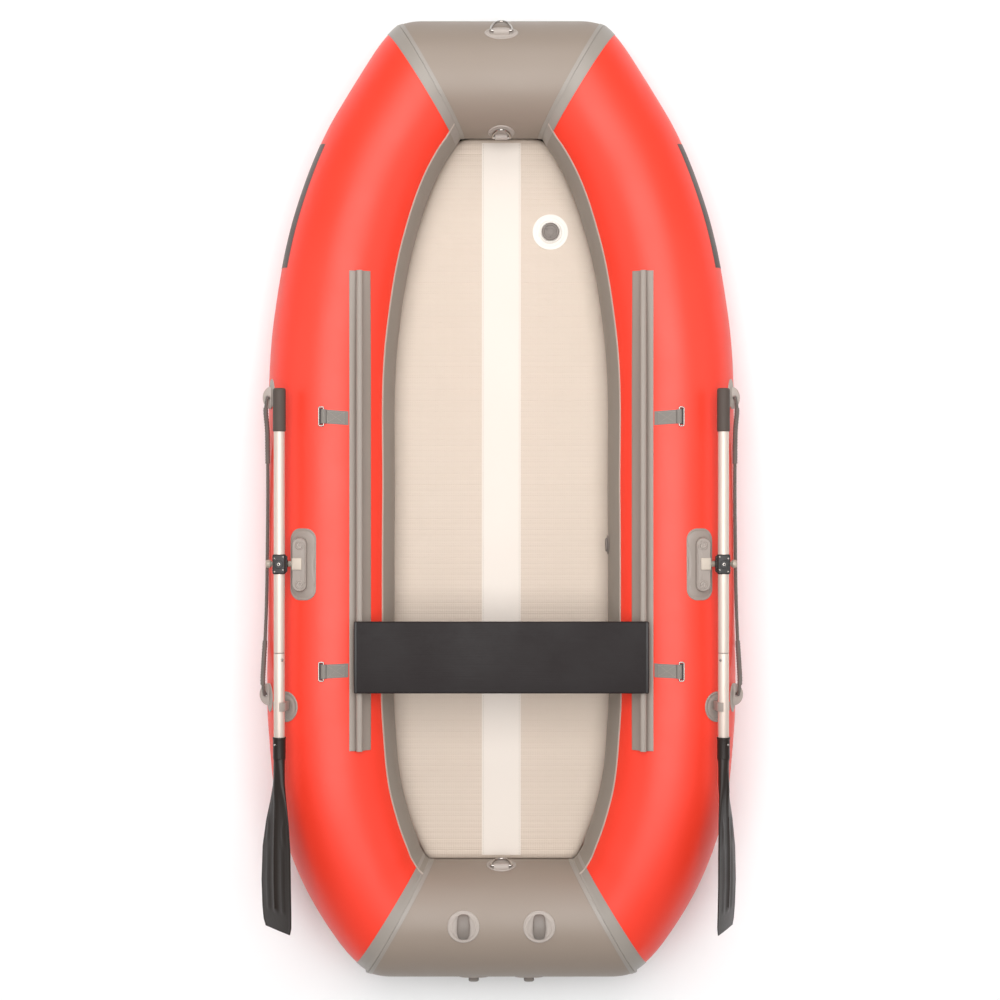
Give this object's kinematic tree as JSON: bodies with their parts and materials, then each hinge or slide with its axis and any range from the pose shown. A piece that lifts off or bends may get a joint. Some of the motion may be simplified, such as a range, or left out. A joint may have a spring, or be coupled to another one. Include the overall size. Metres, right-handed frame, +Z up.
{
  "type": "inflatable dinghy",
  "caption": "Inflatable rowing dinghy of fabric tubes round an inflated floor, with a bench that slides on rails, stowed oars on pivoting locks and grab lines",
  "frame": {"origin": "middle of the boat's box at the ground", "axes": "+Y towards the bow, +X towards starboard, +Z up"},
  "size_m": [1.3, 2.6204, 0.4373],
  "materials": {
    "red_fabric": "satin",
    "grey_fabric": "satin",
    "bottom_fabric": "matte",
    "floor_fabric": "satin",
    "white_plastic": "satin",
    "grey_rubber": "matte",
    "webbing": "matte",
    "rope": "matte",
    "seat_board": "satin",
    "black_plastic": "satin",
    "blade_plastic": "satin",
    "aluminium": "satin",
    "steel": "polished"
  },
  "bodies": {
    "hull": {"tube_port": "red_fabric", "tube_starboard": "red_fabric", "bow_tube": "grey_fabric", "stern_tube": "grey_fabric", "bulkhead_bow": "grey_fabric", "bulkhead_stern": "grey_fabric", "bottom_skin": "bottom_fabric", "air_floor": "floor_fabric", "floor_valve_patch": "white_plastic", "floor_valve_body": "grey_rubber", "side_valve_body": "grey_rubber", "tow_ring_patch": "grey_rubber", "inner_bow_ring_patch": "grey_rubber", "inner_stern_ring_patch": "grey_rubber", "seat_rail_port": "grey_rubber", "seat_rail_starboard": "grey_rubber", "oarlock_mount_port": "grey_rubber", "oarlock_mount_starboard": "grey_rubber", "oarlock_pin_port": "steel", "oarlock_pin_starboard": "steel", "oar_clip_port": "grey_rubber", "oar_clip_starboard": "grey_rubber", "rope_eye_front_port": "grey_rubber", "rope_eye_front_starboard": "grey_rubber", "rope_eye_rear_port": "grey_rubber", "rope_eye_rear_starboard": "grey_rubber", "lifeline_port": "rope", "lifeline_starboard": "rope", "tab_front_port": "webbing", "tab_front_starboard": "webbing", "tab_rear_port": "webbing", "tab_rear_starboard": "webbing", "stern_eye_upper_port": "grey_rubber", "stern_eye_upper_starboard": "grey_rubber", "stern_eye_lower_port": "grey_rubber", "stern_eye_lower_starboard": "grey_rubber"},
    "seat": {"seat_board": "seat_board", "seat_slider_port": "black_plastic", "seat_slider_starboard": "black_plastic"},
    "floor_valve_cap": {"floor_valve_cap": "grey_rubber"},
    "side_valve_cap": {"side_valve_cap": "grey_rubber"},
    "tow_ring": {"tow_ring": "steel"},
    "inner_bow_ring": {"inner_bow_ring": "steel"},
    "inner_stern_ring": {"inner_stern_ring": "steel"},
    "oar_bracket_port": {"oar_bracket_port": "black_plastic"},
    "oar_port": {"oar_clamp_port": "black_plastic", "oar_grip_port": "black_plastic", "oar_shaft_upper_port": "aluminium", "oar_shaft_lower_port": "aluminium", "oar_blade_port": "blade_plastic"},
    "tab_ring_front_port": {"tab_ring_front_port": "steel"},
    "tab_ring_rear_port": {"tab_ring_rear_port": "steel"},
    "oar_bracket_starboard": {"oar_bracket_starboard": "black_plastic"},
    "oar_starboard": {"oar_clamp_starboard": "black_plastic", "oar_grip_starboard": "black_plastic", "oar_shaft_upper_starboard": "aluminium", "oar_shaft_lower_starboard": "aluminium", "oar_blade_starboard": "blade_plastic"},
    "tab_ring_front_starboard": {"tab_ring_front_starboard": "steel"},
    "tab_ring_rear_starboard": {"tab_ring_rear_starboard": "steel"}
  },
  "joints": [
    {"name": "seat_slide", "type": "slide", "parent": "hull", "child": "seat", "axis": [0, 1, 0], "range_m": [-0.174, 0.945]},
    {"name": "port_oar_dip", "type": "hinge", "parent": "hull", "child": "oar_bracket_port", "pos_m": [-0.583, -0.163, 0.336], "axis": [1, 0, 0], "range_deg": [-6, 0], "deforming": ["oar_clip_port"]},
    {"name": "port_oar_sweep", "type": "hinge", "parent": "oar_bracket_port", "child": "oar_port", "pos_m": [-0.583, -0.163, 0.368], "axis": [0, 0, 1], "range_deg": [-100, 0]},
    {"name": "starboard_oar_dip", "type": "hinge", "parent": "hull", "child": "oar_bracket_starboard", "pos_m": [0.583, -0.163, 0.336], "axis": [1, 0, 0], "range_deg": [-6, 0], "deforming": ["oar_clip_starboard"]},
    {"name": "starboard_oar_sweep", "type": "hinge", "parent": "oar_bracket_starboard", "child": "oar_starboard", "pos_m": [0.583, -0.163, 0.368], "axis": [0, 0, 1], "range_deg": [0, 100]},
    {"name": "floor_valve_cap_turn", "type": "hinge", "parent": "hull", "child": "floor_valve_cap", "pos_m": [0.1355, 0.745, 0.1], "axis": [0, 0, 1], "range_deg": [0, 90]},
    {"name": "side_valve_cap_turn", "type": "hinge", "parent": "hull", "child": "side_valve_cap", "pos_m": [0.2919, -0.1164, 0.1707], "axis": [-1, 0, 0], "range_deg": [0, 90]},
    {"name": "tow_ring_hinge", "type": "hinge", "parent": "hull", "child": "tow_ring", "pos_m": [0, 1.2583, 0.2836], "axis": [1, 0, 0], "range_deg": [0, 140]},
    {"name": "inner_bow_ring_hinge", "type": "hinge", "parent": "hull", "child": "inner_bow_ring", "pos_m": [0, 0.9893, 0.1858], "axis": [1, 0, 0], "range_deg": [0, 120]},
    {"name": "inner_stern_ring_hinge", "type": "hinge", "parent": "hull", "child": "inner_stern_ring", "pos_m": [0, -0.9817, 0.2189], "axis": [1, 0, 0], "range_deg": [0, 120]},
    {"name": "tab_ring_front_port_hinge", "type": "hinge", "parent": "hull", "child": "tab_ring_front_port", "pos_m": [-0.4691, 0.226, 0.3453], "axis": [0, 1, 0], "range_deg": [0, 120]},
    {"name": "tab_ring_front_starboard_hinge", "type": "hinge", "parent": "hull", "child": "tab_ring_front_starboard", "pos_m": [0.4691, 0.226, 0.3453], "axis": [0, -1, 0], "range_deg": [0, 120]},
    {"name": "tab_ring_rear_port_hinge", "type": "hinge", "parent": "hull", "child": "tab_ring_rear_port", "pos_m": [-0.4691, -0.4471, 0.3468], "axis": [0, 1, 0], "range_deg": [0, 120]},
    {"name": "tab_ring_rear_starboard_hinge", "type": "hinge", "parent": "hull", "child": "tab_ring_rear_starboard", "pos_m": [0.4691, -0.4471, 0.3468], "axis": [0, -1, 0], "range_deg": [0, 120]}
  ]
}
